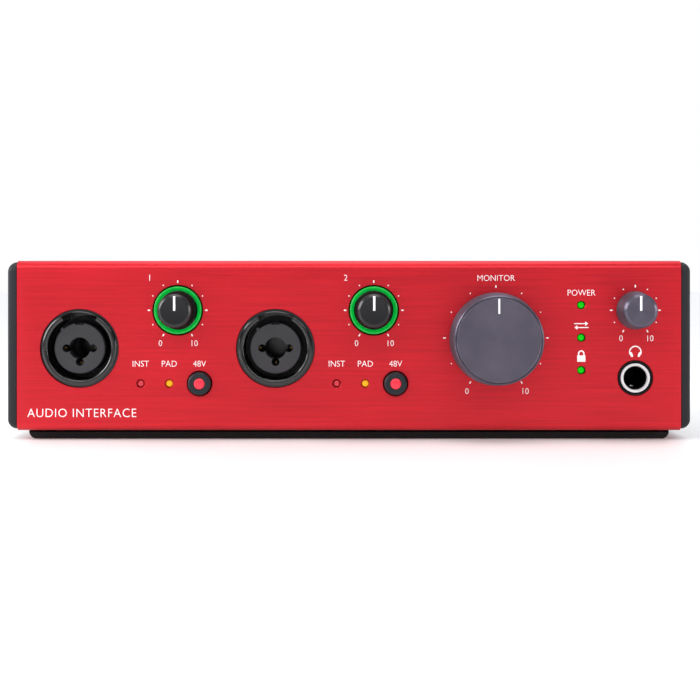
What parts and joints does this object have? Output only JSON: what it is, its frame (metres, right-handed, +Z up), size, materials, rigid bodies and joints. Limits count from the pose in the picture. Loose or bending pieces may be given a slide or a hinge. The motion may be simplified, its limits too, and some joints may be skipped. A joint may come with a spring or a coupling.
{
  "type": "desktop audio interface",
  "caption": "Low red metal box with dark end cheeks: round input sockets, ringed gain knobs, a large level knob, push buttons and a phones socket in front, and sockets behind.",
  "frame": {"origin": "middle of the footprint, on the table", "axes": "+X to the right seen from the front, -Y out of the front panel, +Z up"},
  "size_m": [0.21, 0.16, 0.055],
  "materials": {
    "red_shell": "red anodised, finely brushed sideways, satin",
    "dark_soft_plastic": "fine matt moulded grain",
    "black_plastic": "satin moulded",
    "black_knob": "satin",
    "button_plastic": "satin",
    "rubber": "matt",
    "black_steel": "fine powder coat",
    "zinc_steel": "zinc plated",
    "nickel": "bright plated",
    "gold": "gold plated",
    "grey_metal": "grey anodised, spun face",
    "circuit_board": "solder mask",
    "green_light": "lit light guide",
    "amber_light": "lit light guide",
    "red_light": "lit lens"
  },
  "bodies": {
    "case": {"board_link": "black_plastic", "channel_light_pipe_1": "amber_light", "channel_light_pipe_2": "amber_light", "chassis_tray": "zinc_steel", "combo_contacts_1": "gold", "combo_contacts_2": "gold", "combo_housing_1": "black_plastic", "combo_housing_2": "black_plastic", "combo_insert_1": "black_plastic", "combo_insert_2": "black_plastic", "dc_inlet": "black_plastic", "front_board": "circuit_board", "front_foot": "rubber", "gain_pot_1": "zinc_steel", "gain_pot_2": "zinc_steel", "halo_ring_1": "green_light", "halo_ring_2": "green_light", "left_cheek": "dark_soft_plastic", "line_jack_1": "black_plastic", "line_jack_2": "black_plastic", "line_jack_3": "black_plastic", "line_jack_4": "black_plastic", "line_jack_nut_1": "nickel", "line_jack_nut_2": "nickel", "line_jack_nut_3": "nickel", "line_jack_nut_4": "nickel", "main_board": "circuit_board", "midi_in_socket": "black_plastic", "midi_out_socket": "black_plastic", "monitor_pot": "zinc_steel", "optical_port": "black_plastic", "outer_shell": "red_shell", "phantom_switch_1": "black_plastic", "phantom_switch_2": "black_plastic", "phones_jack": "black_plastic", "phones_jack_sleeve": "nickel", "phones_pot": "zinc_steel", "power_switch_housing": "black_plastic", "processor": "black_plastic", "rear_foot": "rubber", "rear_panel": "black_steel", "rear_screw_1": "black_steel", "rear_screw_2": "black_steel", "right_cheek": "dark_soft_plastic", "status_light_pipe": "green_light", "usb_port": "nickel"},
    "gain_control_1": {"gain_knob_1": "black_knob", "gain_shaft_1": "nickel"},
    "gain_control_2": {"gain_knob_2": "black_knob", "gain_shaft_2": "nickel"},
    "monitor_control": {"monitor_knob": "grey_metal", "monitor_shaft": "nickel"},
    "phones_control": {"phones_knob": "grey_metal", "phones_shaft": "nickel"},
    "phantom_key_1": {"phantom_button_1": "button_plastic", "phantom_lens_1": "red_light"},
    "phantom_key_2": {"phantom_button_2": "button_plastic", "phantom_lens_2": "red_light"},
    "power_key": {"power_rocker": "black_plastic"},
    "optical_flap": {"optical_shutter": "black_plastic"}
  },
  "joints": [
    {"name": "gain_turn_1", "type": "hinge", "parent": "case", "child": "gain_control_1", "pos_m": [-0.0526, -0.0662, 0.0398], "axis": [0, 1, 0], "range_deg": [-150, 150]},
    {"name": "gain_turn_2", "type": "hinge", "parent": "case", "child": "gain_control_2", "pos_m": [0.0076, -0.0662, 0.0398], "axis": [0, 1, 0], "range_deg": [-150, 150]},
    {"name": "monitor_turn", "type": "hinge", "parent": "case", "child": "monitor_control", "pos_m": [0.0451, -0.0662, 0.031], "axis": [0, 1, 0], "range_deg": [-150, 150]},
    {"name": "phones_turn", "type": "hinge", "parent": "case", "child": "phones_control", "pos_m": [0.0879, -0.0662, 0.0398], "axis": [0, 1, 0], "range_deg": [-150, 150]},
    {"name": "phantom_press_1", "type": "slide", "parent": "case", "child": "phantom_key_1", "axis": [0, 1, 0], "range_m": [0, 0.0013], "stiffness_N_per_m": 300},
    {"name": "phantom_press_2", "type": "slide", "parent": "case", "child": "phantom_key_2", "axis": [0, 1, 0], "range_m": [0, 0.0013], "stiffness_N_per_m": 300},
    {"name": "power_rock", "type": "hinge", "parent": "case", "child": "power_key", "pos_m": [0.084, 0.073, 0.029], "axis": [-1, 0, 0], "range_deg": [0, 20]},
    {"name": "optical_flap_swing", "type": "hinge", "parent": "case", "child": "optical_flap", "pos_m": [0.034, 0.0752, 0.028], "axis": [-1, 0, 0], "range_deg": [0, 80], "stiffness_Nm_per_rad": 0.0004, "springref_deg": -28.65}
  ]
}
